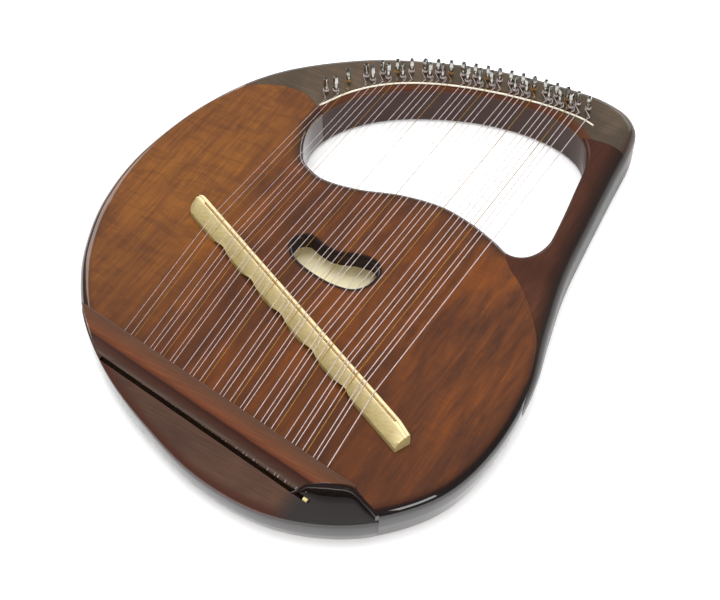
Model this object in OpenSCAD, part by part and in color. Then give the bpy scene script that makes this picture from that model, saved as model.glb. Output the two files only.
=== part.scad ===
// Hand lyre (soprano size, 35 strings) lying on its back.
// Strings run along Y, the pin arm is at +Y, the tail at -Y, the back face is z = 0.
// Origin: centre of the outline, on the back face.

/* [Body] */
// Overall thickness of the frame, back face to soundboard
body_t = 48; // [44:1:52]
// Thickness of the soundboard
top_t = 4; // [3:0.5:5]
// Thickness of the back plate
back_t = 4; // [3:0.5:5]
// Thickness of the side walls
wall_t = 9; // [7:1:11]
// Straight pieces used for each span of an outline
outline_steps = 5; // [4:1:8]

/* [Bridge] */
// Height of the bridge above the soundboard
bridge_h = 20; // [16:1:22]
// Length of the bridge
bridge_l = 342; // [330:2:350]
// Angle of the bridge to the string-crossing direction, degrees
bridge_a = -24.1; // [-26:0.1:-22]
// Diameter of the saddle wire let into the bridge
saddle_d = 2; // [1.6:0.2:2.4]

/* [Strings] */
// Distance between natural strings at the nut
nut_pitch = 12; // [11.5:0.1:12]
// Distance between natural strings at the hitch rail
tail_pitch = 11.8; // [11.2:0.1:11.9]
// Radius of the thinnest string
string_r_min = 0.22; // [0.2:0.02:0.26]
// Radius of the thickest string
string_r_max = 0.55; // [0.4:0.05:0.6]

/* [Tuning] */
// Diameter of a tuning pin
pin_d = 5; // [4.8:0.1:5]
// Height of a tuning pin above the arm
pin_h = 21; // [18:1:24]
// Length of a tuning pin inside the arm
pin_in = 24; // [18:1:30]
// Radial clearance of a tuning pin in its bore
pin_gap = 0.05; // [0.02:0.01:0.09]
// Diameter of a guide pin
guide_d = 1.6; // [1.2:0.1:1.8]
// Height of a guide pin above the arm
guide_h = 4.8; // [4:0.2:5.6]
// Diameter of the nut rod
nut_d = 3; // [2.4:0.1:3.2]

/* [Hitch rail] */
// Height of the hitch rail above the soundboard
rail_h = 6; // [5:0.5:7]
// Diameter of the hitch rod
rod_d = 4; // [3:0.5:4]

/* [Hidden] */
T = body_t;
big = 500;

// Outer outline of the frame, counter-clockwise from the left end of the hitch rail
outer_ctl = [[-213,-152],[-180,-187],[-131,-221],[-74,-247],[-9,-268],[58,-272],[114,-256],
  [159,-225],[195,-175],[208,-110],[203,-36],[184,33],[168,100],[159,168],[151,238],[146,285],
  [137,311],[113,324],[60,323],[-17,309],[-88,283],[-154,245],[-216,185],[-252,110],[-267,22],
  [-261,-50],[-240,-109]];
// Hand opening, clockwise from its lower left corner
hand_ctl = [[-124,97],[-136,118],[-142,142],[-138,168],[-124,195],[-100,221],[-66,244],[-22,264],
  [25,275],[70,274],[102,260],[119,232],[127,190],[134,145],[136,118],[128,97],[112,89],[90,97],
  [60,106],[25,110],[-15,103],[-55,88],[-90,82],[-112,88]];
// Kidney-shaped sound hole
hole_ctl = [[-70,-13],[-71,2],[-60,10],[-45,6],[-28,5],[-10,12],[8,14],[20,3],[19,-15],[8,-28],
  [-12,-32],[-35,-30],[-56,-24]];
// Line of the nut along the inner edge of the pin arm
nut_ctl = [[-160,140],[-147,164],[-130,197],[-104,226],[-68,249],[-29,265],[11,276],[53,283],
  [87,284],[103,281],[118,276]];
// Region of the pin arm
arm_zone = [[-300,120],[-250,138],[-223,155],[-197,169],[-171,172],[-150,163],[-120,150],[90,240],
  [100,262],[125,266],[170,266],[300,300],[300,400],[-300,400]];
// Region of the pillar with its foot
pillar_zone = [[125,130],[108,91],[118,74],[138,59],[154,44],[168,28],[182,9],[191,-12],[199,-37],
  [207,-66],[250,-80],[250,266],[125,266],[100,262],[90,240]];
// Region of the tail block behind the hitch rail
tail_zone = [[-300,-156.7],[-300,-400],[300,-400],[300,-260],[170,-232],[152,-226],[135,-220.5],[120,-218.5],[112,-212.5]];

// Point on a smooth curve through p1 and p2
function cr(a,b,c,d,t) = 0.5*(2*b + (c-a)*t + (2*a-5*b+4*c-d)*t*t + (3*b-a-3*c+d)*t*t*t);
// Closed smooth curve through control points
function loop(P,n) = let(m=len(P)) [for (i=[0:m-1]) for (k=[0:n-1])
  cr(P[(i+m-1)%m],P[i],P[(i+1)%m],P[(i+2)%m],k/n)];
// Open smooth curve from the second to the last but one control point
function path(P,n) = [for (i=[1:len(P)-3]) for (k=[0:n-1]) cr(P[i-1],P[i],P[i+1],P[i+2],k/n), P[len(P)-2]];
// Curve moved to its left by d
function side(P,d) = let(m=len(P)) [for (i=[0:m-1])
  let(t=P[(i+1)%m]-P[(i+m-1)%m]) P[i]+[-t[1],t[0]]/norm(t)*d];

outer = loop(outer_ctl, outline_steps);
hand = loop(hand_ctl, 4);
hole = loop(hole_ctl, 4);
nut = path(nut_ctl, 5);
ox = (max([for (p=outer) p[0]]) + min([for (p=outer) p[0]]))/2;
oy = (max([for (p=outer) p[1]]) + min([for (p=outer) p[1]]))/2;

// Strings: 35 in semitone order from the lowest; 20 natural steps
semi = [0,1,1.5,2,2.5,3,3.5,4,5,5.5,6,6.5];
function step_of(i) = 7*floor(i/12) + semi[i%12];
function sharp(i) = step_of(i) != floor(step_of(i));
function nut_x(i) = 94 - nut_pitch*step_of(i);
function tail_x(i) = 95 - tail_pitch*(floor(step_of(i)) + (sharp(i) ? 0.32 : 0));
function nut_y(x) = lookup(x, [for (p=nut) [p[0],p[1]]]);
function str_r(i) = string_r_max - (string_r_max-string_r_min)*i/34;
// Bridge line and hitch line
br_c = [-16,-85];
br_t = tan(bridge_a);
rail_a = -7.7;
rail_c = [-43,-191.5];
rod_a = -8;
rod_c = [-43,-223];
ledge = 8;
function rail_y(x) = rail_c[1] + (x-rail_c[0])*tan(rail_a);
function rod_y(x) = rod_c[1] + (x-rod_c[0])*tan(rod_a);
// x of a string at a height y on the plan
function str_x(i,y) = let(yn=nut_y(nut_x(i)), yt=rod_y(tail_x(i)))
  tail_x(i) + (nut_x(i)-tail_x(i))*(y-yt)/(yn-yt);
function bridge_y(i) = let(x=str_x(i,-80)) br_c[1] + (x-br_c[0])*br_t;
// Feet of the guide pin and tuning pin of a string
function nut_s(x) = (nut_y(x+1)-nut_y(x-1))/2;
function guide_at(i) = let(x=nut_x(i)) [x, nut_y(x) + max(3.6, 2.8*sqrt(1+nut_s(x)*nut_s(x)))];
function pin_at(i) = guide_at(i) + (sharp(i) ? [-4,4.8] : [-4.9,10.2]);
coil_r = 3;
rod_z = T - ledge - rod_d/2 - 0.5;
function p_tail(i) = [tail_x(i), rod_y(tail_x(i)), rod_z + rod_d/2 + str_r(i)];
function p_entry(i) = let(x=str_x(i,rail_y(tail_x(i)))) [x, rail_y(x), T + 3.4];
function p_bridge(i) = [str_x(i,bridge_y(i)), bridge_y(i), T + bridge_h + str_r(i) + 0.05];
function p_nut(i) = [nut_x(i), nut_y(nut_x(i)), T + nut_d*cos(22.5) + str_r(i) + 0.05];
function p_guide(i) = let(g=guide_at(i)) [g[0]+guide_d/2+str_r(i)+0.5, g[1]+0.2, T+(sharp(i) ? 3.0 : 3.8)];
function p_coil(i) = let(c=pin_at(i), g=p_guide(i), l=norm([c[0]-g[0],c[1]-g[1]]), d=[c[0]-g[0],c[1]-g[1]]/l,
  s=sharp(i) ? [d[1],-d[0]] : [-d[1],d[0]], r=coil_r+0.35+str_r(i), q=c-d*r*r/l+s*r*sqrt(1-r*r/l/l)) [q[0],q[1],T+(sharp(i) ? 2.9 : 5.6)];

module place() { translate([-ox,-oy,0]) children(); }
module prism(P,z0,z1) { translate([0,0,z0]) linear_extrude(z1-z0) polygon(P); }
// Straight round bar between two points
module bar(a,b,r,fn=24) {
  v=b-a; l=norm(v);
  translate(a) rotate([0,acos(v[2]/l),atan2(v[1],v[0])]) cylinder(r=r,h=l,$fn=fn);
}
// Tube through points, flat-ended
module tube(P,r,n=6,ph=0) {
  m=len(P);
  dirs=[for (i=[0:m-1]) let(t=P[min(i+1,m-1)]-P[max(i-1,0)]) t/norm(t)];
  pts=[for (i=[0:m-1]) let(d=dirs[i], a=cross(d,[0,0,1])/norm(cross(d,[0,0,1])), b=cross(a,d))
    for (k=[0:n-1]) P[i]+r*(cos(360*k/n+ph)*a+sin(360*k/n+ph)*b)];
  faces=concat([[for (k=[0:n-1]) k]],
    [for (i=[0:m-2]) for (k=[0:n-1]) [i*n+k,(i+1)*n+k,(i+1)*n+(k+1)%n,i*n+(k+1)%n]],
    [[for (k=[n-1:-1:0]) (m-1)*n+k]]);
  polyhedron(points=pts,faces=faces,convexity=4);
}

// Frame layers: narrower at the back and at the top edge
function edge_in(z) = z < 4 ? 11 : z < 12 ? 5 : z > T-top_t-0.1 ? 3 : 0;
// k is the share of the back edge's slope: full on the body, less on the arm and pillar
module frame_slab(z0,z1,k=1) {
  difference() {
    prism(side(outer,edge_in(z0)*(z0 < 13 ? k : 1)),z0,z1);
    prism(side(hand,edge_in(z0) > 4 ? 2 : 0),z0-1,z1+1);
  }
}
module box_slab(z0,z1) {
  difference() {
    frame_slab(z0,z1);
    prism(arm_zone,z0-1,z1+1);
    prism(pillar_zone,z0-1,z1+1);
  }
}
module cavity(z0,z1,w=0) {
  difference() {
    prism(side(outer,wall_t+w+3),z0,z1);
    prism(side(hand,wall_t+w),z0-1,z1+1);
    prism(side(arm_zone,-wall_t-w),z0-1,z1+1);
    prism(side(pillar_zone,-wall_t-w),z0-1,z1+1);
    prism(side(tail_zone,-w),z0-1,z1+1);
  }
}
zt = T - top_t;
// Dowel positions: two in the arm joint at the left, two in the joint with the pillar
dow_l = [[-196,150],[-168,148]];
dow_r = [[126,248],[138,248]];
module dowel_l(p,d,l,s=0) { translate([p[0],p[1],18]) rotate([-90,0,-20]) translate([0,0,s]) cylinder(d=d,h=l,$fn=32); }
module dowel_r(p,d,l,s=0) { translate([p[0],p[1],24]) rotate([-90,0,0]) translate([0,0,s]) cylinder(d=d,h=l,$fn=32); }

module back_plate() { color("#4a2a18") place() box_slab(0,back_t); }
module side_walls() {
  color("#3a2016") place() difference() {
    union() { box_slab(back_t,12); box_slab(12,zt); }
    cavity(back_t-1,zt+1);
    prism(tail_zone,back_t-1,zt+1);
    for (p=dow_l) dowel_l(p,9,40);
  }
}
module soundboard() {
  color("#9a5630") place() difference() {
    box_slab(zt,T);
    prism(hole,zt-1,T+1);
    prism(tail_zone,zt-1,T+1);
  }
}
module tail_block() {
  color("#6e3b22") place() difference() {
    intersection() {
      union() { box_slab(back_t,12); box_slab(12,T-ledge); }
      prism(tail_zone,back_t-1,T+1);
    }
    translate([rod_c[0],rod_c[1],T-ledge-5]) rotate([0,0,rod_a]) translate([-106,-2.9,0]) cube([250,5.8,10]);
  }
}
// Rail in front of the soundboard: flat crest, sloped front, a hole for each string
module hitch_rail() {
  color("#7d4427") place() difference() {
    intersection() {
      prism([[-230,-166.6],[-230,-194.1],[86,-238.4],[89,-233],[97,-227.5],[108,-221.5],[117,-217.8],[111.6,-213]],T-ledge,T+rail_h);
      prism(side(outer,4),T-ledge-1,T+rail_h+1);
    }
    translate([rail_c[0],rail_c[1]-18,T+rail_h]) rotate([0,0,rail_a]) rotate([27,0,0]) translate([-big,-200,0]) cube([2*big,200,60]);
    translate([rod_c[0],rod_c[1]+3.2,T-ledge+1]) rotate([0,0,rod_a]) rotate([68,0,0]) translate([-big,-200,0]) cube([2*big,400,60]);
    for (i=[0:34]) let(a=p_tail(i), b=p_entry(i)) bar(a-(b-a)*0.1,b+(b-a)*0.2,str_r(i)+0.5,16);
  }
}
module hitch_rod() {
  color("#c9a24a") place() translate([rod_c[0],rod_c[1],rod_z]) rotate([0,0,rod_a])
    translate([-103,0,0]) rotate([0,90,0]) cylinder(d=rod_d,h=244,$fn=32);
}
module string_loops() {
  color("#b9b9bd") place() for (i=[0:34])
    translate([tail_x(i),rod_y(tail_x(i)),rod_z]) rotate([0,90,rod_a])
      difference() { cylinder(r=rod_d/2+0.4,h=1.4,center=true,$fn=32); cylinder(r=rod_d/2,h=3,center=true,$fn=32); }
}
module pin_arm() {
  color("#5b4a40") place() difference() {
    intersection() {
      union() { frame_slab(0,back_t,0.3); frame_slab(back_t,12,0.3); frame_slab(12,zt); frame_slab(zt,T); }
      prism(arm_zone,-1,T+1);
    }
    for (i=[0:34]) translate([pin_at(i)[0],pin_at(i)[1],T-pin_in-1]) cylinder(d=pin_d+2*pin_gap,h=pin_in+5,$fn=32);
    for (i=[0:34]) translate([guide_at(i)[0],guide_at(i)[1],T-8]) cylinder(d=guide_d,h=12,$fn=16);
    for (p=dow_l) dowel_l(p,9,40);
    for (p=dow_r) dowel_r(p,8,36);
  }
}
module pillar() {
  color("#5a2e1d") place() difference() {
    intersection() {
      union() { frame_slab(0,back_t,0.3); frame_slab(back_t,12,0.3); frame_slab(12,zt); frame_slab(zt,T); }
      prism(pillar_zone,-1,T+1);
    }
    for (p=dow_r) dowel_r(p,8,36);
  }
}
module arm_dowels() {
  color("#d8b98a") place() for (p=dow_l) dowel_l(p,8.9,39,0.5);
}
module pillar_dowels() {
  color("#d8b98a") place() for (p=dow_r) dowel_r(p,7.9,35,0.5);
}
module corner_block() {
  color("#e0cda4") place() difference() {
    intersection() {
      cavity(14,zt-10);
      prism([[-262,96],[-255,90],[-205,90],[-150,120],[-150,168],[-262,168]],14,zt-10);
    }
    for (p=dow_l) dowel_l(p,9,40);
  }
}
module foot_block() {
  color("#e0cda4") place() intersection() {
    cavity(14,zt-10);
    prism([[100,20],[150,-10],[178,-40],[220,-40],[220,60],[100,90]],14,zt-10);
  }
}
module top_lining() {
  color("#e0cda4") place() difference() { cavity(zt-10,zt); cavity(zt-11,zt+1,6); }
}
module back_lining() {
  color("#e0cda4") place() difference() { cavity(back_t,12); cavity(back_t-1,13,6); }
}
// Bar glued under the soundboard or on the back, clipped to the cavity
module brace(c,a,l,w,z0,z1) {
  intersection() {
    translate([c[0],c[1],z0]) rotate([0,0,a]) translate([-l/2,-w/2,0]) cube([l,w,z1-z0]);
    cavity(z0-1,z1+1,6.3);
  }
}
module soundboard_braces() {
  color("#e6d3aa") place() {
    brace([-90,45],-8,400,7,zt-9,zt);
    brace([0,-52],-24,460,7,zt-9,zt);
    brace([-20,-140],-16,420,7,zt-9,zt);
  }
}
module bridge_plate() {
  color("#e6d3aa") place() translate([-16,-88,zt-2.5]) rotate([0,0,bridge_a]) translate([-150,-9,0]) cube([300,18,2.5]);
}
module back_braces() {
  color("#e6d3aa") place() {
    brace([-60,62],0,420,8,back_t,back_t+9);
    brace([-20,-65],0,460,8,back_t,back_t+9);
    brace([-20,-140],0,440,8,back_t,back_t+9);
  }
}
module bridge() {
  color("#dccb96") place() translate([br_c[0],br_c[1],T]) rotate([0,0,bridge_a]) difference() {
    translate([-bridge_l/2,0,0]) rotate([90,0,90]) linear_extrude(bridge_l)
      polygon([[-12,0],[4.5,0],[4.5,bridge_h-2],[3.2,bridge_h-1],[1.6,bridge_h-1],[1.6,bridge_h-3],[-1.6,bridge_h-3],
        [-1.6,bridge_h-1.2],[-3.5,bridge_h-2],[-12,6]]);
    for (x=[-110,-60,-10,40,92]) translate([x,20,-15]) rotate([90,0,0]) cylinder(r=22,h=40,$fn=64);
    translate([bridge_l/2-9,-20,bridge_h]) rotate([0,38,0]) cube([40,40,30]);
    translate([-bridge_l/2+5,-20,bridge_h]) rotate([0,-52,0]) translate([-40,0,0]) cube([40,40,30]);
  }
}
module saddle_wire() {
  color("#b08a45") place() translate([br_c[0],br_c[1],T+bridge_h-saddle_d/2]) rotate([0,0,bridge_a])
    translate([-bridge_l/2+14,0,0]) rotate([0,90,0]) cylinder(d=saddle_d,h=bridge_l-30,$fn=24);
}
module nut_rod() {
  color("#c9c3b4") place() tube([for (p=nut) [p[0],p[1],T+nut_d/2*cos(22.5)]],nut_d/2,8,22.5);
}
module guide_pins() {
  color("#c8c8cc") place() for (i=[0:34]) translate([guide_at(i)[0],guide_at(i)[1],T-8]) cylinder(d=guide_d,h=8+guide_h,$fn=16);
}
module string_of(i) { tube([p_tail(i)+[0,0,0.45],p_entry(i),p_bridge(i),p_nut(i),p_guide(i),p_coil(i)],str_r(i),6); }
module strings_bass() { color("#b58a4a") place() for (i=[0:11]) string_of(i); }
module strings_middle() { color("#c9c9cf") place() for (i=[12:23]) string_of(i); }
module strings_treble() { color("#d6d6da") place() for (i=[24:34]) string_of(i); }
// Tuning pin with its turns of string and a square head
module tuning_pin(i) {
  color("#bfc0c4") place() translate([pin_at(i)[0],pin_at(i)[1],T]) {
    translate([0,0,-pin_in]) cylinder(d=pin_d,h=pin_in+pin_h-9,$fn=32);
    translate([0,0,sharp(i) ? 1.5 : 4.2]) cylinder(r=coil_r,h=2.8,$fn=32);
    translate([-1.75,-1.75,pin_h-9]) cube([3.5,3.5,9]);
  }
}

back_plate();
side_walls();
soundboard();
tail_block();
hitch_rail();
hitch_rod();
string_loops();
pin_arm();
pillar();
arm_dowels();
pillar_dowels();
corner_block();
foot_block();
top_lining();
back_lining();
soundboard_braces();
bridge_plate();
back_braces();
bridge();
saddle_wire();
nut_rod();
guide_pins();
strings_bass();
strings_middle();
strings_treble();
tuning_pin(0);  // tuning_pin_01
tuning_pin(1);  // tuning_pin_02
tuning_pin(2);  // tuning_pin_03
tuning_pin(3);  // tuning_pin_04
tuning_pin(4);  // tuning_pin_05
tuning_pin(5);  // tuning_pin_06
tuning_pin(6);  // tuning_pin_07
tuning_pin(7);  // tuning_pin_08
tuning_pin(8);  // tuning_pin_09
tuning_pin(9);  // tuning_pin_10
tuning_pin(10);  // tuning_pin_11
tuning_pin(11);  // tuning_pin_12
tuning_pin(12);  // tuning_pin_13
tuning_pin(13);  // tuning_pin_14
tuning_pin(14);  // tuning_pin_15
tuning_pin(15);  // tuning_pin_16
tuning_pin(16);  // tuning_pin_17
tuning_pin(17);  // tuning_pin_18
tuning_pin(18);  // tuning_pin_19
tuning_pin(19);  // tuning_pin_20
tuning_pin(20);  // tuning_pin_21
tuning_pin(21);  // tuning_pin_22
tuning_pin(22);  // tuning_pin_23
tuning_pin(23);  // tuning_pin_24
tuning_pin(24);  // tuning_pin_25
tuning_pin(25);  // tuning_pin_26
tuning_pin(26);  // tuning_pin_27
tuning_pin(27);  // tuning_pin_28
tuning_pin(28);  // tuning_pin_29
tuning_pin(29);  // tuning_pin_30
tuning_pin(30);  // tuning_pin_31
tuning_pin(31);  // tuning_pin_32
tuning_pin(32);  // tuning_pin_33
tuning_pin(33);  // tuning_pin_34
tuning_pin(34);  // tuning_pin_35
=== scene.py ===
import bpy
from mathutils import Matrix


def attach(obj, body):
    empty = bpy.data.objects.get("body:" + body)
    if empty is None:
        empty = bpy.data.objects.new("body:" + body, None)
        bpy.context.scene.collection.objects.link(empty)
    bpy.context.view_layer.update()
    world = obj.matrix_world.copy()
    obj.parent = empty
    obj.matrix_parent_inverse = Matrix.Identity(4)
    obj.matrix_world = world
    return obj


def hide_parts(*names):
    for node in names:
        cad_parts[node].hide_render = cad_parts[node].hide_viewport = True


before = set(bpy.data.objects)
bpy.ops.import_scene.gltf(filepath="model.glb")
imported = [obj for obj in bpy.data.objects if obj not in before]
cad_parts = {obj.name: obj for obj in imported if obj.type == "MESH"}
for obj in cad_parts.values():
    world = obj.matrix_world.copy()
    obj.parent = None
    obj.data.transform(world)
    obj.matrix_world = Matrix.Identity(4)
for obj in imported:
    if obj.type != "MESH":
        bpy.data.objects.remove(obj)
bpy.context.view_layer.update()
import bpy, bmesh, math
import numpy as np
from mathutils import Vector, Matrix
from mathutils.geometry import delaunay_2d_cdt

OX, OY, T = -29.504, 26.24, 48.0
scene = bpy.context.scene

# ---------------------------------------------------------------- camera
cam_data = bpy.data.cameras.new("camera")
cam_data.lens = 90.45
cam_data.sensor_width = 36.0
cam_data.clip_end = 20
cam = bpy.data.objects.new("camera", cam_data)
scene.collection.objects.link(cam)
cam.location = ((576.2 - OX) / 1000, (-951.4 - OY) / 1000, 1.3255)
cam.rotation_euler = (math.radians(40), 0, math.radians(31.2))
scene.camera = cam
scene.view_settings.view_transform = "Standard"

# ---------------------------------------------------------------- curves (millimetres, drawing axes)
def cr(a, b, c, d, t):
    a, b, c, d = map(np.array, (a, b, c, d))
    return 0.5 * (2 * b + (c - a) * t + (2 * a - 5 * b + 4 * c - d) * t * t + (3 * b - a - 3 * c + d) * t ** 3)


def loop(P, n):
    m = len(P)
    return np.array([cr(P[i - 1], P[i], P[(i + 1) % m], P[(i + 2) % m], k / n) for i in range(m) for k in range(n)])


def path(P, n):
    return np.array([cr(P[i - 1], P[i], P[i + 1], P[i + 2], k / n) for i in range(1, len(P) - 2) for k in range(n)] + [P[-2]], float)


def side(P, d):
    t = np.roll(P, -1, 0) - np.roll(P, 1, 0)
    t /= np.linalg.norm(t, axis=1)[:, None]
    return P + np.stack([-t[:, 1], t[:, 0]], 1) * (d if np.isscalar(d) else np.asarray(d)[:, None])


outer_ctl = [[-213,-152],[-180,-187],[-131,-221],[-74,-247],[-9,-268],[58,-272],[114,-256],
  [159,-225],[195,-175],[208,-110],[203,-36],[184,33],[168,100],[159,168],[151,238],[146,285],
  [137,311],[113,324],[60,323],[-17,309],[-88,283],[-154,245],[-216,185],[-252,110],[-267,22],
  [-261,-50],[-240,-109]]
hand_ctl = [[-124,97],[-136,118],[-142,142],[-138,168],[-124,195],[-100,221],[-66,244],[-22,264],
  [25,275],[70,274],[102,260],[119,232],[127,190],[134,145],[136,118],[128,97],[112,89],[90,97],
  [60,106],[25,110],[-15,103],[-55,88],[-90,82],[-112,88]]
hole_ctl = [[-70,-13],[-71,2],[-60,10],[-45,6],[-28,5],[-10,12],[8,14],[20,3],[19,-15],[8,-28],
  [-12,-32],[-35,-30],[-56,-24]]
nut_ctl = [[-160,140],[-147,164],[-130,197],[-104,226],[-68,249],[-29,265],[11,276],[53,283],
  [87,284],[103,281],[118,276]]
outer = loop(outer_ctl, 8)
hand = loop(hand_ctl, 7)
hole = loop(hole_ctl, 8)
nut = path(nut_ctl, 5)
seam_left = path([[-275,125],[-250,138],[-223,155],[-197,169],[-171,172],[-150,163],[-120,150],[-100,140]], 4)
seam_foot = path([[125,110],[108,91],[118,74],[138,59],[154,44],[168,28],[182,9],[191,-12],[199,-37],[207,-66],[215,-90]], 4)
arm_zone = np.array([[-300,120]] + seam_left.tolist() + [[90,240],[100,262],[125,266],[170,266],[300,300],[300,400],[-300,400]], float)
pillar_zone = np.array([[125,130]] + seam_foot.tolist() + [[250,-80],[250,266],[125,266],[100,262],[90,240]], float)
rim_path = path([[66,-262],[76,-248],[83,-238.8],[88.3,-233.6],[98,-230.2],[111,-224.2],[118.5,-220.3],[125,-218.2],[131,-219.2],[138.5,-222.2],[146,-225],[153,-227.8],[166,-233.3],[178,-239.3],[190,-246]], 5)
rim_back = side(rim_path, 1.6)[1:-1]
tail_zone = np.array([[-300,-156.7],[-300,-400],[300,-400],[300,-300]] + [p for p in rim_back[::-1].tolist() if p[0] > 128.5] + [[127,-214.5]], float)

semi = [0, 1, 1.5, 2, 2.5, 3, 3.5, 4, 5, 5.5, 6, 6.5]
step_of = lambda i: 7 * (i // 12) + semi[i % 12]
sharp = lambda i: step_of(i) != math.floor(step_of(i))
nut_x = lambda i: 94 - 12 * step_of(i)
tail_x = lambda i: 95 - 11.8 * (math.floor(step_of(i)) + (0.32 if sharp(i) else 0))
nut_y = lambda x: float(np.interp(x, nut[:, 0], nut[:, 1]))
str_r = lambda i: 0.55 - 0.33 * i / 34
LEDGE, ROD = 8.0, 4.0
rod_c, rod_a = (-43, -223), -8.0
rail_c, rail_a = (-43, -191.5), -7.7
rod_y = lambda x: rod_c[1] + (x - rod_c[0]) * math.tan(math.radians(rod_a))
rail_y = lambda x: rail_c[1] + (x - rail_c[0]) * math.tan(math.radians(rail_a))
rod_z = T - LEDGE - ROD / 2 - 0.5


def str_x(i, y):
    yn, yt = nut_y(nut_x(i)), rod_y(tail_x(i))
    return tail_x(i) + (nut_x(i) - tail_x(i)) * (y - yt) / (yn - yt)


bridge_y = lambda i: -85 + (str_x(i, -80) + 16) * math.tan(math.radians(-24.1))
nut_s = lambda x: (nut_y(x + 1) - nut_y(x - 1)) / 2
guide_at = lambda i: np.array([nut_x(i), nut_y(nut_x(i)) + max(3.6, 2.8 * math.sqrt(1 + nut_s(nut_x(i)) ** 2))])
pin_at = lambda i: guide_at(i) + (np.array([-4, 4.8]) if sharp(i) else np.array([-4.9, 10.2]))


def string_path(i):
    r = str_r(i)
    tx = 88.5 if i == 0 else tail_x(i)
    tail = np.array([tx, rod_y(tx) + (6.0 if i < 2 else 2.2), rod_z + ROD / 2 + r - 0.4])
    xe = str_x(i, rail_y(tail_x(i)))
    entry = np.array([xe, rail_y(xe), T + 3.4])
    br = np.array([str_x(i, bridge_y(i)), bridge_y(i), T + 20 + r + 0.05])
    nt = np.array([nut_x(i), nut_y(nut_x(i)), T + 3 * math.cos(math.radians(22.5)) + r + 0.05])
    g = guide_at(i)
    gd = np.array([g[0] + 0.8 + r + 0.5, g[1] + 0.2, T + (3.0 if sharp(i) else 3.8)])
    c = pin_at(i)
    l = np.linalg.norm(c - gd[:2])
    d = (c - gd[:2]) / l
    s = np.array([d[1], -d[0]]) if sharp(i) else np.array([-d[1], d[0]])
    R = 3.35 + r
    q = c - d * R * R / l + s * R * math.sqrt(1 - R * R / l / l)
    return np.array([tail, entry, br, nt, gd, [q[0], q[1], T + (2.9 if sharp(i) else 5.6)]])


# ---------------------------------------------------------------- mesh helpers
def M(P):
    P = np.asarray(P, float)
    return np.stack([(P[:, 0] - OX) / 1000, (P[:, 1] - OY) / 1000, P[:, 2] / 1000], 1)


def inside(P, X, Y):
    X, Y = np.asarray(X), np.asarray(Y)
    c = np.zeros(X.shape, bool)
    for a, b in zip(P, np.roll(P, 1, 0)):
        if a[1] == b[1]:
            continue
        c ^= ((a[1] > Y) != (b[1] > Y)) & (X < (b[0] - a[0]) * (Y - a[1]) / (b[1] - a[1]) + a[0])
    return c


def dist(P, X, Y, closed=True):
    out = np.full(len(X), 1e9)
    Q = np.roll(P, -1, 0) if closed else P[1:]
    for a, b in zip(P, Q):
        d = b - a
        l2 = d @ d + 1e-12
        t = np.clip(((X - a[0]) * d[0] + (Y - a[1]) * d[1]) / l2, 0, 1)
        out = np.minimum(out, np.hypot(X - a[0] - t * d[0], Y - a[1] - t * d[1]))
    return out


def build(name, V, F, smooth=35, metres=False):
    me = bpy.data.meshes.new(name)
    me.from_pydata((V if metres else M(V)).tolist(), [], [list(map(int, f)) for f in F])
    bm = bmesh.new()
    bm.from_mesh(me)
    bmesh.ops.remove_doubles(bm, verts=bm.verts, dist=3e-6)
    bmesh.ops.recalc_face_normals(bm, faces=bm.faces)
    bm.to_mesh(me)
    bm.free()
    if smooth:
        me.shade_smooth()
        me.set_sharp_from_angle(angle=math.radians(smooth))
    ob = bpy.data.objects.new(name, me)
    scene.collection.objects.link(ob)
    return ob


def rings_faces(n, m, base=0, closed=True):
    F = []
    for j in range(m - 1):
        for i in range(n if closed else n - 1):
            k = (i + 1) % n
            F.append([base + j * n + i, base + j * n + k, base + (j + 1) * n + k, base + (j + 1) * n + i])
    return F


def cap(out, hol, z, step):
    co, ed = [], []
    for R in [out] + ([hol] if hol is not None else []):
        b = len(co)
        co += R.tolist()
        ed += [(b + i, b + (i + 1) % len(R)) for i in range(len(R))]
    if step:
        x0, y0 = out.min(0)
        x1, y1 = out.max(0)
        gx, gy = np.meshgrid(np.arange(x0, x1, step), np.arange(y0, y1, step))
        gx, gy = gx.ravel(), gy.ravel()
        gx = gx + (np.round((gy - y0) / step) % 2) * step / 2
        ok = inside(out, gx, gy) & (dist(out, gx, gy) > step * 0.45)
        if hol is not None:
            ok &= ~inside(hol, gx, gy) & (dist(hol, gx, gy) > step * 0.45)
        co += np.stack([gx[ok], gy[ok]], 1).tolist()
    v, e, f = delaunay_2d_cdt([Vector(c) for c in co], ed, [], 0, 1e-7)[:3]
    v = np.array([list(p) for p in v])
    f = np.array([t for t in f if len(t) == 3])
    c = v[f].mean(1)
    ok = inside(out, c[:, 0], c[:, 1])
    if hol is not None:
        ok &= ~inside(hol, c[:, 0], c[:, 1])
    return np.column_stack([v, np.full(len(v), z)]), f[ok]


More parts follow.
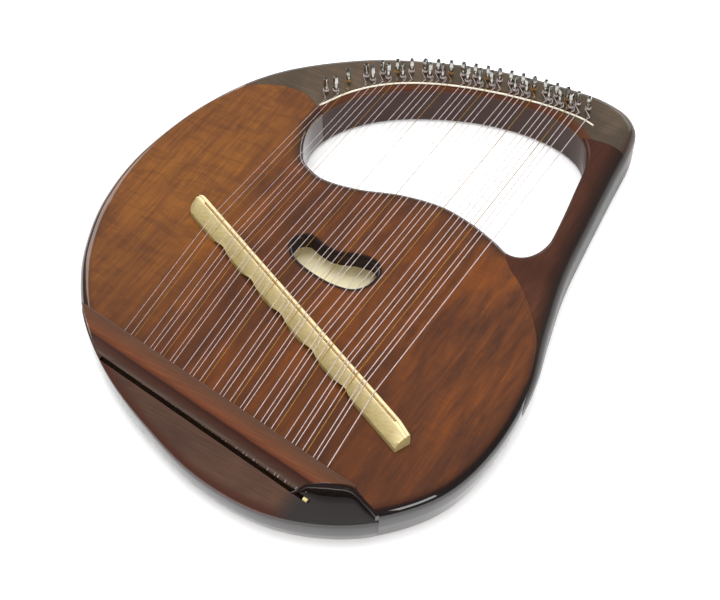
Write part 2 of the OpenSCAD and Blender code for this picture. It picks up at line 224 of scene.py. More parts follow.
def shell(name, top, rt, under, ht=6.0, hb=5.0, step=6):
    """Closed frame-shaped solid: round top edge, sides that slope in by under towards the back. rt and under are one number for each outline point."""
    V, F = [], []

    def add(P, R):
        b = sum(map(len, V))
        V.extend(R)
        F.extend(rings_faces(len(P), len(R), b))
        return R[0][:, :2], R[-1][:, :2]

    R = []
    z_wide = 31.0 - (T - top)
    for z in (0.0, 0.7, 2.2, 4.5, 8, 12, 16, 20, 24, 27, 29):
        k = max(0.0, (z_wide - z) / z_wide) ** 1.12
        R.append(np.column_stack([side(outer, under * k + 4.5 * max(0.0, 1 - z / 4.5) ** 2), np.full(len(outer), z)]) if z < z_wide - 1 else None)
    R = [r for r in R if r is not None]
    for a in np.radians(np.linspace(0, 90, 10)):
        R.append(np.column_stack([side(outer, rt * (1 - math.cos(a))), top - rt * (1 - math.sin(a))]))
    ob, ot = add(outer, R)
    R = []
    for a in np.radians(np.linspace(0, 90, 6)):
        R.append(np.column_stack([side(hand, hb * (1 - math.sin(a))), np.full(len(hand), hb * (1 - math.cos(a)))]))
    for a in np.radians(np.linspace(0, 90, 8)):
        R.append(np.column_stack([side(hand, ht * (1 - math.cos(a))), np.full(len(hand), top - ht * (1 - math.sin(a)))]))
    hb_, ht_ = add(hand, R)
    for o, h, z, s in ((ot, ht_, top, step), (ob, hb_, 0.0, 0)):
        v, f = cap(o, h, z, s)
        b = sum(map(len, V))
        V.append(v)
        F.extend((f + b).tolist())
    return build(name, np.concatenate(V), F, smooth=0)


def prism(P, z0, z1, name="cutter"):
    n = len(P)
    V = np.concatenate([np.column_stack([P, np.full(n, z0)]), np.column_stack([P, np.full(n, z1)])])
    F = rings_faces(n, 2) + [list(range(n))[::-1], list(range(n, 2 * n))]
    return build(name, V, F, smooth=0)


def loft(R, name="cutter", smooth=0, closed=True):
    n = len(R[0])
    V = np.concatenate(R)
    F = rings_faces(n, len(R), closed=closed) + [list(range(n))[::-1], [(len(R) - 1) * n + k for k in range(n)]]
    return build(name, V, F, smooth=smooth)


def cut(ob, cutter, op="DIFFERENCE"):
    m = ob.modifiers.new("b", "BOOLEAN")
    m.solver, m.operation, m.object = "EXACT", op, cutter
    dg = bpy.context.evaluated_depsgraph_get()
    me = bpy.data.meshes.new_from_object(ob.evaluated_get(dg))
    ob.modifiers.clear()
    old = ob.data
    ob.data = me
    bpy.data.meshes.remove(old)
    bpy.data.objects.remove(cutter)
    return ob


def copy(ob, name):
    o = ob.copy()
    o.data = ob.data.copy()
    o.name = name
    scene.collection.objects.link(o)
    return o


def finish_mesh(ob, angle=38):
    me = ob.data
    bm = bmesh.new()
    bm.from_mesh(me)
    bmesh.ops.remove_doubles(bm, verts=bm.verts, dist=2e-6)
    bmesh.ops.dissolve_degenerate(bm, edges=bm.edges, dist=1e-6)
    bm.to_mesh(me)
    bm.free()
    me.shade_smooth()
    me.set_sharp_from_angle(angle=math.radians(angle))
    co = np.zeros(len(me.vertices) * 3, np.float32)
    me.vertices.foreach_get("co", co)
    co = co.reshape(-1, 3).astype(float) * 1000
    X, Y = co[:, 0] + OX, co[:, 1] + OY
    for name, d in (("edge", dist(outer, X, Y)), ("hand", dist(hand, X, Y)), ("hole", dist(hole, X, Y))):
        a = me.attributes.new(name, "FLOAT", "POINT")
        a.data.foreach_set("value", (d / 100).astype(np.float32))


def tube(name, P, r, n=8, smooth=60):
    P = np.asarray(P, float)
    r = np.full(len(P), r) if np.isscalar(r) else np.asarray(r)
    m = len(P)
    R = []
    for i in range(m):
        t = P[min(i + 1, m - 1)] - P[max(i - 1, 0)]
        t = t / np.linalg.norm(t)
        up = np.array([0, 0, 1.0]) if abs(t[2]) < 0.9 else np.array([1.0, 0, 0])
        a = np.cross(t, up)
        a /= np.linalg.norm(a)
        b = np.cross(a, t)
        R.append([P[i] + r[i] * (math.cos(2 * math.pi * k / n) * a + math.sin(2 * math.pi * k / n) * b) for k in range(n)])
    return loft(np.array(R), name, smooth)


def join(name, obs):
    V, F, S, b = [], [], [], 0
    me = bpy.data.meshes.new(name)
    bm = bmesh.new()
    for o in obs:
        bm.from_mesh(o.data)
        bpy.data.objects.remove(o)
    bm.to_mesh(me)
    bm.free()
    ob = bpy.data.objects.new(name, me)
    scene.collection.objects.link(ob)
    return ob


# ---------------------------------------------------------------- materials
def lin(r, g, b):
    f = lambda c: (c / 255 / 12.92) if c / 255 <= 0.04045 else ((c / 255 + 0.055) / 1.055) ** 2.4
    return (f(r), f(g), f(b), 1)


class Mat:
    def __init__(self, name):
        self.m = bpy.data.materials.new(name)
        self.m.use_nodes = True
        self.t = self.m.node_tree
        self.p = self.t.nodes["Principled BSDF"]
        self.tc = self.t.nodes.new("ShaderNodeTexCoord").outputs["Object"]

    def node(self, kind, **kw):
        n = self.t.nodes.new("ShaderNode" + kind)
        for k, v in kw.items():
            setattr(n, k, v)
        return n

    def link(self, a, b):
        self.t.links.new(a, b)

    def coords(self, scale, rot=(0, 0, 0), loc=(0, 0, 0)):
        n = self.node("Mapping")
        n.inputs["Scale"].default_value = scale
        n.inputs["Rotation"].default_value = rot
        n.inputs["Location"].default_value = loc
        self.link(self.tc, n.inputs["Vector"])
        return n.outputs[0]

    def noise(self, vec, scale=1, detail=4, rough=0.5, dist=0):
        n = self.node("TexNoise")
        n.inputs["Scale"].default_value = scale
        n.inputs["Detail"].default_value = detail
        n.inputs["Roughness"].default_value = rough
        n.inputs["Distortion"].default_value = dist
        self.link(vec, n.inputs["Vector"])
        return n.outputs[0]

    def attr(self, name):
        n = self.node("Attribute", attribute_name=name)
        return n.outputs["Fac"]

    def math(self, op, a, b=0.5):
        n = self.node("Math", operation=op)
        for k, v in ((0, a), (1, b)):
            if isinstance(v, (int, float)):
                n.inputs[k].default_value = v
            else:
                self.link(v, n.inputs[k])
        return n.outputs[0]

    def ramp(self, fac, stops, mode="LINEAR"):
        n = self.node("ValToRGB")
        n.color_ramp.interpolation = mode
        el = n.color_ramp.elements
        while len(el) > 1:
            el.remove(el[-1])
        for k, (p, c) in enumerate(stops):
            e = el[0] if k == 0 else el.new(p)
            e.position = p
            e.color = c if len(c) == 4 else (*c, 1)
        self.link(fac, n.inputs[0])
        return n.outputs[0]

    def mix(self, fac, a, b, mode="MIX"):
        n = self.node("Mix", data_type="RGBA", blend_type=mode)
        n.clamp_factor = True
        for k, v in ((0, fac), (6, a), (7, b)):
            if isinstance(v, (int, float)):
                n.inputs[k].default_value = v
            elif isinstance(v, tuple):
                n.inputs[k].default_value = v
            else:
                self.link(v, n.inputs[k])
        return n.outputs[2]

    def grey(self, fac, stops):
        return self.ramp(fac, [(p, (v, v, v, 1)) for p, v in stops])

    def bump(self, h, strength, distance=0.0002):
        n = self.node("Bump")
        n.inputs["Strength"].default_value = strength
        n.inputs["Distance"].default_value = distance
        self.link(h, n.inputs["Height"])
        self.link(n.outputs[0], self.p.inputs["Normal"])

    def set(self, **kw):
        for k, v in kw.items():
            self.p.inputs[k.replace("_", " ")].default_value = v
        return self


LAC = dict(Roughness=0.5, Specular_IOR_Level=0.08, Coat_Weight=1.0, Coat_Roughness=0.05, Coat_IOR=1.6)
SATIN = dict(Roughness=0.55, Specular_IOR_Level=0.15, Coat_Weight=0.55, Coat_Roughness=0.14, Coat_IOR=1.5)
SOFT = dict(Roughness=0.6, Specular_IOR_Level=0.1, Coat_Weight=0.45, Coat_Roughness=0.14, Coat_IOR=1.4)
DIM = 0.66


def grain(m, along="Y", scale=1.0):
    s = {"Y": (900, 26, 300), "X": (26, 900, 300)}[along]
    return m.noise(m.coords(tuple(v * scale for v in s)), 1, 5, 0.6, 0.4)


def wood(*c):
    return tuple(v * DIM for v in lin(*c)[:3]) + (1,)


def top_wood():
    m = Mat("sunburst_lacquer_painted_edge_shade")
    e, h, q = m.attr("edge"), m.attr("hand"), m.attr("hole")
    big = m.noise(m.coords((6, 4.5, 5), loc=(3.1, 1.7, 0)), 1, 2, 0.5, 0.5)
    blot = m.noise(m.coords((70, 12, 20), rot=(0, 0, 0.1), loc=(1, 4, 0)), 1, 5, 0.65, 0.3)
    curl = m.noise(m.coords((26, 90, 30), rot=(0, 0, 0.1), loc=(0, 2, 0)), 1, 3, 0.5, 1.0)
    g = grain(m)
    # orange towards the far left and the right, browner under the strings
    sep = m.node("SeparateXYZ")
    m.link(m.tc, sep.inputs[0])
    x, y = sep.outputs[0], sep.outputs[1]
    left = m.math("ADD", m.math("MULTIPLY", x, -1.0), m.math("MULTIPLY", y, 0.12))
    lf = m.grey(m.math("ADD", m.math("ADD", left, 0.515), m.math("MULTIPLY", m.math("SUBTRACT", big, 0.5), 0.25)), [(0.56, 0.0), (0.68, 1.0)])
    mixn = m.math("ADD", m.math("MULTIPLY", big, 0.4), m.math("MULTIPLY", blot, 0.6))
    mid = m.ramp(mixn, [(0.36, wood(82, 48, 32)), (0.47, wood(112, 64, 34)), (0.57, wood(136, 75, 32)), (0.68, wood(156, 86, 30))])
    org = m.ramp(mixn, [(0.36, wood(104, 62, 30)), (0.47, wood(130, 79, 38)), (0.6, wood(150, 93, 40))])
    base = m.mix(lf, mid, org)
    dark = m.math("MULTIPLY", m.grey(curl, [(0.36, 0.42), (0.55, 0.0)]), m.math("ADD", 0.35, m.math("MULTIPLY", lf, 0.3)))
    base = m.mix(dark, base, wood(62, 40, 32))
    base = m.mix(m.grey(g, [(0.4, 0.3), (0.62, 0.0)]), base, wood(64, 36, 24))
    base = m.mix(m.grey(m.math("ADD", y, 0.5), [(0.26, 0.5), (0.34, 0.3), (0.44, 0.0)]), base, wood(66, 40, 30))
    # narrow dark fade at the edges, strongest at the tail and the right: partly the sunburst's darker edge, partly
    # painted shade for the dark reflection on the rounded edge, weakened by low towards the top-left where the rim
    # shows lighter sheen
    low = m.grey(m.math("ADD", m.math("SUBTRACT", m.math("MULTIPLY", x, 0.55), y), 0.4), [(0.2, 0.12), (0.42, 0.55), (0.62, 1.0)])
    f1 = m.math("MULTIPLY", m.grey(e, [(0.05, 1.0), (0.08, 0.5), (0.13, 0.0)]), low)
    base = m.mix(f1, base, wood(40, 20, 14))
    f2 = m.math("MULTIPLY", m.grey(e, [(0.035, 1.0), (0.075, 0.0)]), low)
    base = m.mix(f2, base, wood(20, 11, 10))
    base = m.mix(m.grey(h, [(0.03, 0.95), (0.07, 0.55), (0.13, 0.0)]), base, wood(54, 34, 27))
    base = m.mix(m.grey(q, [(0.01, 1.0), (0.02, 0.35), (0.05, 0.0)]), base, wood(34, 20, 16))
    m.link(base, m.p.inputs["Base Color"])
    m.bump(g, 0.08)
    m.set(**LAC)
    return m.m


def brown(name, lo, hi, along="X", edge=True, gloss=LAC, dark=(24, 15, 14), e_lo=0.03, e_hi=0.12, warm=None, coarse=1.0, scoop=False):
    m = Mat(name)
    big = m.noise(m.coords((12 * coarse, 7 * coarse, 8), loc=(2, 5, 1)), 1, 3, 0.5, 0.7)
    g = grain(m, along)
    base = m.ramp(big, [(0.38, wood(*lo)), (0.62, wood(*hi))])
    base = m.mix(m.grey(g, [(0.38, 0.45), (0.62, 0.0)]), base, wood(*[int(c * 0.66) for c in lo]))
    if warm:
        # painted light on the arm: a warmer band by the hand opening, where the top's painted sheen is left off, and
        # darker red-brown painted shade on faces below about 40 mm (the walls)
        base = m.mix(m.grey(m.attr("hand"), [(0.03, 1.0), (0.07, 0.8), (0.1, 0.0)]), base, wood(*warm))
        sep = m.node("SeparateXYZ")
        m.link(m.tc, sep.inputs[0])
        base = m.mix(m.grey(m.math("MULTIPLY", sep.outputs[2], 20.0), [(0.8, 1.0), (0.9, 0.0)]), base, wood(62, 38, 30))
    if edge:
        # darker towards the outer edge: painted shade of the rounded outer edge
        base = m.mix(m.grey(m.attr("edge"), [(e_lo, 1.0), (e_hi, 0.0)]), base, wood(*dark))
    if scoop:
        # dark grey towards the tail's right end, the scoop: painted reflection of dark surroundings in the hollow
        sep = m.node("SeparateXYZ")
        m.link(m.tc, sep.inputs[0])
        base = m.mix(m.grey(m.math("MULTIPLY", sep.outputs[0], 5.0), [(0.5, 0.0), (0.6, 1.0)]), base, wood(50, 47, 46))
    m.link(base, m.p.inputs["Base Color"])
    m.bump(g, 0.08)
    m.set(**gloss)
    return m.m


def pale(name, lo, hi, along="X", rough=0.5, coat=0.2):
    m = Mat(name)
    g = m.noise(m.coords({"X": (30, 700, 400), "Y": (700, 30, 400)}[along]), 1, 4, 0.6, 0.3)
    big = m.noise(m.coords((25, 25, 25)), 1, 2)
    base = m.mix(m.grey(g, [(0.35, 0.0), (0.65, 1.0)]), lin(*lo), lin(*hi))
    base = m.mix(m.grey(big, [(0.4, 0.0), (0.7, 0.25)]), base, lin(*[int(c * 0.86) for c in lo]))
    m.link(base, m.p.inputs["Base Color"])
    m.bump(g, 0.2)
    m.set(Roughness=rough, Coat_Weight=coat, Coat_Roughness=0.25)
    return m.m


def metal(name, col, rough=0.25, tint=0.25, scale=(300, 300, 1500), metallic=1.0):
    m = Mat(name)
    g = m.noise(m.coords(scale), 1, 3)
    base = m.mix(m.grey(g, [(0.35, 0.0), (0.65, 1.0)]), lin(*[int(c * (1 - tint)) for c in col]), lin(*col))
    m.link(base, m.p.inputs["Base Color"])
    m.link(m.grey(g, [(0.3, rough * 0.8), (0.7, rough * 1.25)]), m.p.inputs["Roughness"])
    m.set(Metallic=metallic)
    return m.m


mat_top = top_wood()
# the arm's greyish top colour is painted sheen: the pale surroundings reflected in its lacquer
mat_arm = brown("arm_lacquer", (84, 72, 60), (108, 92, 76), "X", gloss=SOFT, dark=(60, 42, 32), warm=(92, 54, 36), e_hi=0.1)
mat_pillar = brown("pillar_lacquer", (74, 42, 30), (94, 56, 40), "Y", gloss=SOFT, dark=(34, 24, 20), e_lo=0.05, e_hi=0.2)
mat_tail = brown("tail_lacquer", (78, 56, 46), (98, 70, 56), "X", dark=(74, 42, 32), e_lo=0.03, e_hi=0.1, scoop=True)


def rail_wood():
    m = Mat("rail_lacquer_painted_light_bands")
    big = m.noise(m.coords((14, 9, 8), loc=(2, 5, 1)), 1, 3, 0.5, 0.7)
    g = grain(m, "X")
    v = m.math("ADD", m.attr("across"), m.math("MULTIPLY", m.math("SUBTRACT", big, 0.5), 0.04))
    # the colour bands across the rail are painted light: a dark painted shadow line at the crest, a lighter top, a thin
    # dark line where the front steepens, a darker front face, a painted greyish highlight just above the groove and
    # dark painted shade at its edge
    base = m.ramp(v, [(0.0, wood(50, 32, 24)), (0.05, wood(92, 64, 48)), (0.3, wood(104, 66, 44)), (0.55, wood(120, 69, 44)), (0.655, wood(104, 58, 38)),
        (0.69, wood(52, 26, 20)), (0.74, wood(74, 42, 32)), (0.86, wood(84, 62, 52)), (0.93, wood(96, 84, 76)), (0.97, wood(40, 26, 20))])
    base = m.mix(m.grey(g, [(0.38, 0.4), (0.62, 0.0)]), base, wood(66, 40, 30))
    m.link(base, m.p.inputs["Base Color"])
    m.bump(g, 0.08)
    m.set(**SATIN)
    return m.m


mat_rail = rail_wood()
# black glossy lacquer: the sound hole's rim really is black; on the scoop rim the black is painted shade
mat_black = brown("black_lacquer_and_painted_shade", (26, 16, 15), (34, 20, 18), "X", edge=False)
mat_in = pale("bare_spruce", (232, 220, 180), (242, 234, 204), "Y", 0.6, 0.0)
mat_bridge = pale("bridge_maple", (200, 184, 138), (222, 206, 162), "X", 0.5, 0.1)
# painted shade: the bridge colour is multiplied by a ramp on the height of the surface normal, so the sloped front and
# the sides come out darker and greener
bt = mat_bridge.node_tree
bp = bt.nodes["Principled BSDF"]
geo, bsep, painted_shade_ramp, painted_shade_mix = (bt.nodes.new("ShaderNode" + k) for k in ("NewGeometry", "SeparateXYZ", "ValToRGB", "Mix"))
bt.links.new(geo.outputs["Normal"], bsep.inputs[0])
bt.links.new(bsep.outputs[2], painted_shade_ramp.inputs[0])
painted_shade_ramp.color_ramp.elements[0].position, painted_shade_ramp.color_ramp.elements[0].color = 0.55, (0.56, 0.53, 0.42, 1)
painted_shade_ramp.color_ramp.elements[1].position, painted_shade_ramp.color_ramp.elements[1].color = 0.9, (1.0, 1.0, 1.0, 1)
painted_shade_mix.data_type, painted_shade_mix.blend_type = "RGBA", "MULTIPLY"
painted_shade_mix.inputs[0].default_value = 1.0
bt.links.new(bp.inputs["Base Color"].links[0].from_socket, painted_shade_mix.inputs[6])
bt.links.new(painted_shade_ramp.outputs[0], painted_shade_mix.inputs[7])
bt.links.new(painted_shade_mix.outputs[2], bp.inputs["Base Color"])
mat_nickel = metal("nickel", (205, 205, 200), 0.16, 0.2)
mat_steel = metal("string_steel", (228, 210, 210), 0.38, 0.1, metallic=0.55)
mat_bronze = metal("string_bronze", (180, 136, 74), 0.42, 0.15, metallic=0.6)
mat_hole = pale("hole_wall_stain", (30, 20, 17), (40, 27, 22), "X", 0.9, 0.0)
mat_tip = metal("brass_rod_end", (226, 204, 142), 0.35, 0.1, metallic=0.3)
# the hitch rod and string loops are darkened to stand for the shade in the narrow groove (painted shade); the rod's tip
# keeps the brass's own colour
mat_groove_shade = metal("groove_metal_painted_shade", (74, 56, 42), 0.55, 0.3)
mat_saddle = metal("saddle_wire_bronze", (186, 152, 104), 0.5, 0.2, metallic=0.4)
mat_nut = metal("nut_wire", (236, 228, 208), 0.5, 0.06, (60, 60, 60), metallic=0.25)

# ---------------------------------------------------------------- frame pieces
oxs, oys = outer[:, 0], outer[:, 1]
east = np.clip((oxs - 90) / 40, 0, 1) * np.clip((oys + 60) / 70, 0, 1)
north = np.clip((oys - 150) / 60, 0, 1)
under = 7.5 * (1 - east) * (1 - 0.5 * north) + 1.2
rt_full = 9.5 * (1 - east) + 16.5 * east
full = shell("full", T, rt_full, under)
low_r = np.interp(outer[:, 0], [-185, -150, -60, 10, 140, 175], [0.8, 1.2, 6.0, 9.0, 9.0, 9.0])
low = shell("low", T - LEDGE, np.where(outer[:, 1] < 0, low_r, 8.0), under, ht=5.0, hb=4.0)

G = 0.12
arm = cut(copy(full, "pin_arm_piece"), prism(side(arm_zone, G), -5, 60), "INTERSECT")
pillar = cut(copy(full, "pillar_piece"), prism(side(pillar_zone, G), -5, 60), "INTERSECT")
body = full
body.name = "body_piece"
cut(body, prism(side(arm_zone, -G), -5, 60))
cut(body, prism(side(pillar_zone, -G), -5, 60))
cut(body, prism(tail_zone, -5, 60))
# sound hole with a rounded rim, opening into a hollow lined with bare wood
hr = 2.4
R = [np.column_stack([side(hole, -hr), np.full(len(hole), T - 15.0)])]
for a in np.radians(np.linspace(0, 90, 7)):
    R.append(np.column_stack([side(hole, hr * (1 - math.cos(a)) - hr), np.full(len(hole), T - hr * (1 - math.sin(a)))]))
R.append(np.column_stack([hole, np.full(len(hole), T + 2.0)]))
pocket = np.array([[-175, -95], [95, -95], [95, 62], [-175, 62]], float)
cut(body, prism(pocket, 16.0, T - 15.0))
cut(body, loft(R))
tail = cut(low, prism(tail_zone, -5, 60), "INTERSECT")
tail.name = "tail_piece"
# groove for the hitch rod
ca, sa = math.cos(math.radians(rod_a)), math.sin(math.radians(rod_a))


def rot(u, v, c=rod_c):
    return [c[0] + u * ca - v * sa, c[1] + u * sa + v * ca]


cut(tail, prism(np.array([rot(-106, -2.3), rot(140.5, -2.3), rot(140.5, 2.3), rot(-106, 2.3)]), T - LEDGE - 5, 60))
for o, mats in ((body, (mat_top, mat_in, mat_black, mat_hole)), (arm, (mat_arm,)), (pillar, (mat_pillar,)), (tail, (mat_tail,))):
    o.data.materials.clear()
    for mm in mats:
        o.data.materials.append(mm)
    finish_mesh(o)
me = body.data
cen = np.zeros(len(me.polygons) * 3, np.float32)
me.polygons.foreach_get("center", cen)
cen = cen.reshape(-1, 3) * 1000 + np.array([OX, OY, 0])
idx = np.zeros(len(me.polygons), np.int32)
inn = (cen[:, 0] > -176) & (cen[:, 0] < 96) & (cen[:, 1] > -96) & (cen[:, 1] < 63) & (cen[:, 2] > 4) & (cen[:, 2] < T - 14.9)
idx[inn] = 1
near = dist(hole, cen[:, 0], cen[:, 1]) < 5.0
idx[near & (cen[:, 2] > T - 15.2) & (cen[:, 2] < T - 0.02)] = 2
idx[near & (cen[:, 2] > T - 15.2) & (cen[:, 2] < T - 2.3)] = 3
me.polygons.foreach_set("material_index", idx)

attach(body, "frame"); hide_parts("back_plate", "side_walls", "soundboard")
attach(arm, "frame"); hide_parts("pin_arm")
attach(pillar, "frame"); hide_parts("pillar")
# the tail's outer wall and back share the body's lacquer
tail.data.materials.append(mat_top)
n = len(tail.data.polygons)
nz, tc = np.zeros(n * 3, np.float32), np.zeros(n * 3, np.float32)
tail.data.polygons.foreach_get("normal", nz)
tail.data.polygons.foreach_get("center", tc)
nz, tc = nz.reshape(-1, 3), tc.reshape(-1, 3) * 1000 + np.array([OX, OY, 0])
wall = ((nz[:, 2] < 0.3) & (dist(outer, tc[:, 0], tc[:, 1]) < 9)) | (nz[:, 2] < -0.5)
tail.data.polygons.foreach_set("material_index", wall.astype(np.int32))
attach(tail, "frame"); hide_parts("tail_block")

# ---------------------------------------------------------------- hitch rail
sec = [(0.9, -8), (0.9, 4.4), (1.3, 5.5), (2.4, 5.9), (4.5, 6.0), (8, 5.9), (11, 5.6), (14, 5.1), (16.5, 4.4), (18.5, 3.5), (19.7, 2.6), (20.4, 1.6),
       (21.0, 0.6), (22.5, -1.6), (24.2, -3.9), (26.0, -6.0), (27.6, -7.3), (28.8, -8)]
ra = math.radians(rail_a)
Rr = []
for u in np.linspace(-190, 176, 130):
    Rr.append([[rail_c[0] + u * math.cos(ra) + v * math.sin(ra), rail_c[1] + u * math.sin(ra) - v * math.cos(ra), T + z] for v, z in sec])
rail = loft(np.array(Rr), "rail_piece")
cut(rail, prism(side(outer, 1.2), 20, 80), "INTERSECT")
end_cut = np.array([p for p in rim_back.tolist() if p[0] < 127] + [[128, -212.0], [128, -190], [200, -190], [200, -300], [76, -300]])
cut(rail, prism(end_cut, 20, 80))
rail.data.materials.clear()
rail.data.materials.append(mat_rail)
finish_mesh(rail, 30)
rc = np.zeros(len(rail.data.vertices) * 3, np.float32)
rail.data.vertices.foreach_get("co", rc)
rc = rc.reshape(-1, 3) * 1000 + np.array([OX, OY, 0])
va = rail.data.attributes.new("across", "FLOAT", "POINT")
va.data.foreach_set("value", ((-(rc[:, 1] - rail_c[1]) * math.cos(ra) + (rc[:, 0] - rail_c[0]) * math.sin(ra)) / 30).astype(np.float32))
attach(rail, "frame"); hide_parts("hitch_rail")

# rounded black rim round the scoop at the rail's end; its near-black is painted shade for the dark reflection on this
# rounded edge
rp = rim_path[2:-2]
topz = np.interp(rp[:, 0], [78, 83, 88, 98, 106, 118, 125, 131, 150, 160, 168], [T - 7.8, T - 6, T - 1, T + 4.6, T + 5.8, T + 4.8, T + 2.0, T + 0.4, T - 0.3, T - 2.5, T - 8])
wid = np.interp(rp[:, 0], [80, 88, 98, 112, 125, 150, 165], [1.4, 2.4, 3.6, 3.8, 3.4, 2.4, 1.4])
tn = np.gradient(rp, axis=0)
tn /= np.linalg.norm(tn, axis=1)[:, None]
nr = np.stack([tn[:, 1], -tn[:, 0]], 1)
Rs = []
for p, n_, z, w in zip(rp, nr, topz, wid):
    ring = [(-1.9, T - 8.2), (-1.9, z - 0.3), (-1.2, z)] + [(-1.0 + w * math.sin(a), z - w * (1 - math.cos(a)) * 1.15) for a in np.radians(np.linspace(0, 90, 8))] + [(w - 1.0, T - 8.2)]
    Rs.append([[p[0] + n_[0] * q, p[1] + n_[1] * q, max(h, T - 8.2)] for q, h in ring])
scoop_rim = loft(np.array(Rs), "scoop_rim", 45)
cut(scoop_rim, prism(side(outer, 0.3), 20, 80), "INTERSECT")
scoop_rim.data.materials.clear()
scoop_rim.data.materials.append(mat_black)
finish_mesh(scoop_rim, 45)
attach(scoop_rim, "frame")

# ---------------------------------------------------------------- bridge
ba = math.radians(-24.1)
bx = np.linspace(-171, 171, 115)
Rb = []
for u in bx:
    lift = 0.0
    e1 = np.clip((u + 171) / 7, 0, 1)
    e2 = np.clip((171 - u) / 16, 0, 1)
    h = 20 - 5.5 * (1 - e2) ** 1.3 - 3.0 * (1 - e1) ** 2
    k = 1 - 0.22 * (1 - e1) ** 2
    secb = [(-12, 0), (-12, 5.2), (-11.4, 6.3), (-8, 10.4), (-3.5, h - 2.6), (-1.9, h - 1.2), (-1.2, h - 1.2), (-1.1, h - 1.9), (1.1, h - 1.9), (1.2, h - 0.9),
            (3.2, h - 1.0), (4.3, h - 1.8), (4.5, h - 2.6), (4.5, 0)]
    Rb.append([[-16 + u * math.cos(ba) - v * k * math.sin(ba), -85 + u * math.sin(ba) + v * k * math.cos(ba), T + min(z, h)] for v, z in secb])
bridge = loft(np.array(Rb), "bridge_piece")
for x in (-110, -60, -10, 40, 92):
    C = []
    for v in (-20, 12):
        C.append([[-16 + (x + 22 * math.cos(t)) * math.cos(ba) - v * math.sin(ba), -85 + (x + 22 * math.cos(t)) * math.sin(ba) + v * math.cos(ba), T - 15 + 22 * math.sin(t)]
                  for t in np.linspace(0, 2 * math.pi, 48, endpoint=False)])
    cut(bridge, loft(np.array(C)))
bridge.data.materials.clear()
bridge.data.materials.append(mat_bridge)
finish_mesh(bridge, 25)
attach(bridge, "frame"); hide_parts("bridge")

# ---------------------------------------------------------------- wires
nut_piece = tube("nut_piece", np.column_stack([nut, np.full(len(nut), T + 1.15)]), 1.0, 12)
nut_piece.data.materials.append(mat_nut)
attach(nut_piece, "frame"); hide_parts("nut_rod")

groups = {"strings_bass": (0, 12), "strings_middle": (12, 24), "strings_treble": (24, 35)}
gold = {3, 8, 15, 20, 27, 32}
for g, (a, b) in groups.items():
    for kind in ("steel", "bronze"):
        obs = [tube("s", string_path(i), str_r(i) * 0.85, 8, 0) for i in range(a, b) if (i in gold) == (kind == "bronze")]
        o = join(g + "_" + kind, obs)
        o.data.shade_smooth()
        o.data.materials.append(mat_bronze if kind == "bronze" else mat_steel)
        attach(o, "frame")
        if kind == "steel":
            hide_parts(g)

loops = []
for i in range(35):
    tx = 88.5 if i == 0 else tail_x(i)
    cx, cy = tx, rod_y(tx)
    ring = [[cx - (2.15 * math.cos(a)) * sa * 1.0, cy + (2.15 * math.cos(a)) * ca, rod_z + 2.15 * math.sin(a)] for a in np.linspace(0, 2 * math.pi, 17)]
    loops.append(tube("l", ring, 0.3, 6, 0))
loops = join("string_loop_wires", loops)
loops.data.shade_smooth()
loops.data.materials.append(mat_groove_shade)
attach(loops, "frame"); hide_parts("string_loops")
rod_end = tube("rod_end", np.array([rot(-103, 0) + [rod_z], rot(131.5, 0) + [rod_z]]), 1.95, 20, 30)
rod_end.name = "hitch_rod_piece"
rod_end.data.materials.append(mat_groove_shade)
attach(rod_end, "frame"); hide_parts("hitch_rod")
tip = tube("hitch_rod_tip", np.array([rot(134.5, 0) + [rod_z + 1.9], rot(138.6, 0) + [rod_z + 1.9]]), 1.9, 20, 30)
tip.data.materials.append(mat_tip)
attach(tip, "frame")

guides = []
for i in range(35):
    g = guide_at(i)
    prof = [(0.8, -2), (0.8, 3.4), (1.25, 3.6), (1.3, 4.1), (1.05, 4.6), (0.5, 4.85)]
    R = [[[g[0] + r * math.cos(t), g[1] + r * math.sin(t), T + z] for t in np.linspace(0, 2 * math.pi, 12, endpoint=False)] for r, z in prof]
    guides.append(loft(np.array(R), "g"))
guides = join("guide_pin_heads", guides)
guides.data.shade_smooth()
guides.data.set_sharp_from_angle(angle=math.radians(50))
guides.data.materials.append(mat_nickel)
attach(guides, "frame"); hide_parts("guide_pins")

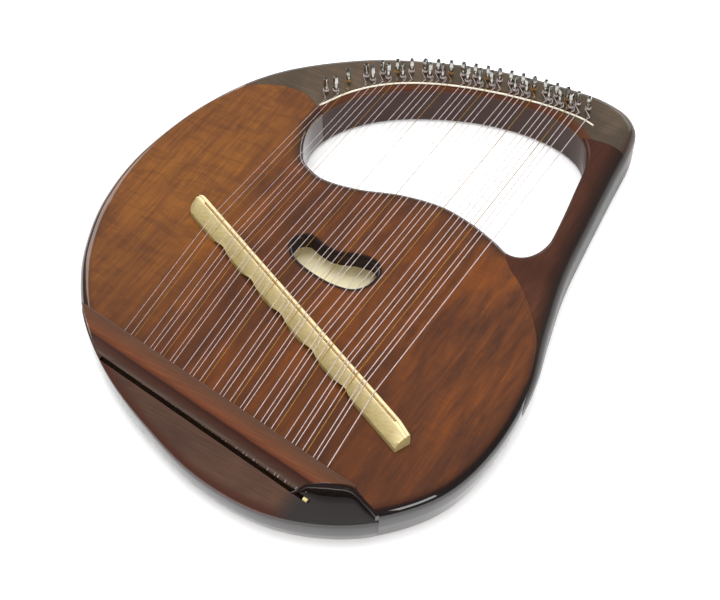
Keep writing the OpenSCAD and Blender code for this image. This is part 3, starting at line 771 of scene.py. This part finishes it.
# ---------------------------------------------------------------- tuning pins
for i in range(35):
    c = pin_at(i)
    parts = []
    prof = [(2.2, -3), (2.5, -2.5), (2.5, 11.0), (2.3, 12.4)]
    R = [[[c[0] + r * math.cos(t), c[1] + r * math.sin(t), T + z] for t in np.linspace(0, 2 * math.pi, 24, endpoint=False)] for r, z in prof]
    parts.append(loft(np.array(R), "p"))
    th = math.radians(12 + 37 * i)
    sq = [(1.95, 11.6), (2.0, 12.4), (1.8, 20.0), (1.35, 20.9)]
    R = []
    for h, z in sq:
        q = []
        for k in range(4):
            for off in (-0.1, 0.1):
                t = th + math.pi / 4 + k * math.pi / 2 + off
                q.append([c[0] + h * 1.36 * math.cos(t), c[1] + h * 1.36 * math.sin(t), T + z])
        R.append(q)
    parts.append(loft(np.array(R), "p"))
    z0 = 1.6 if sharp(i) else 4.3
    w = 0.42
    t = np.linspace(0, 2 * math.pi * 2.9, 64)
    wire = np.stack([c[0] + 2.55 * np.cos(t) , c[1] + 2.55 * np.sin(t), T + z0 + 0.3 + t / (2 * math.pi) * 0.86], 1)
    coil = tube("c", wire, w, 6, 0)
    shaft = join("tuning_pin_piece_%02d" % (i + 1), parts)
    shaft.data.shade_smooth()
    shaft.data.set_sharp_from_angle(angle=math.radians(30))
    shaft.data.materials.append(mat_nickel)
    coil.name = "pin_coil_%02d" % (i + 1)
    coil.data.shade_smooth()
    coil.data.materials.append(mat_bronze if i in gold else mat_steel)
    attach(shaft, "pin_%02d" % (i + 1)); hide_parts("tuning_pin_%02d" % (i + 1))
    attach(coil, "pin_%02d" % (i + 1))

# ---------------------------------------------------------------- CAD pieces that stay
keep = {"saddle_wire": mat_saddle}
for n in ("arm_dowels", "pillar_dowels", "corner_block", "foot_block", "top_lining", "back_lining", "soundboard_braces", "bridge_plate", "back_braces"):
    keep[n] = mat_in
for n, mm in keep.items():
    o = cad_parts[n]
    o.data.materials.clear()
    o.data.materials.append(mm)

# ---------------------------------------------------------------- floor and light
fm = Mat("floor_paper")
nn = fm.noise(fm.coords((3, 3, 3)), 1, 2)
fm.link(fm.mix(fm.grey(nn, [(0.3, 0.0), (0.7, 1.0)]), (0.9, 0.9, 0.9, 1), (0.92, 0.92, 0.92, 1)), fm.p.inputs["Base Color"])
fm.set(Roughness=0.9, Emission_Color=(1.0, 1.0, 1.0, 1), Emission_Strength=0.15)
bpy.ops.mesh.primitive_plane_add(size=14, location=(0, 0, -0.0005))
floor = bpy.context.object
floor.name = "floor"
floor.data.materials.append(fm.m)

world = bpy.data.worlds.new("studio")
scene.world = world
world.use_nodes = True
bg = world.node_tree.nodes["Background"]
bg.inputs[0].default_value = (1, 1, 1, 1)
bg.inputs[1].default_value = 0.14


def lamp(name, loc, target, size, power, size_y=None, shine=True):
    d = bpy.data.lights.new(name, "AREA")
    d.shape = "RECTANGLE"
    d.size, d.size_y, d.energy = size, size_y or size, power
    o = bpy.data.objects.new(name, d)
    scene.collection.objects.link(o)
    o.location = loc
    o.rotation_euler = (Vector(target) - Vector(loc)).to_track_quat("-Z", "Y").to_euler()
    o.visible_glossy = shine
    return o


lamp("over", (-0.2, 0.1, 2.6), (0, 0, 0), 3.0, 120, shine=False)
lamp("front", (1.2, -2.2, 1.3), (0, -0.1, 0), 2.6, 60, shine=False)
lamp("left", (-2.2, 0.9, 1.5), (0, 0, 0), 1.2, 13)
lamp("right", (2.2, -0.9, 1.5), (0, 0, 0), 0.9, 14)
lamp("back", (-0.6, 3.4, 0.9), (0, 0, 0.1), 5.0, 60, 1.2)
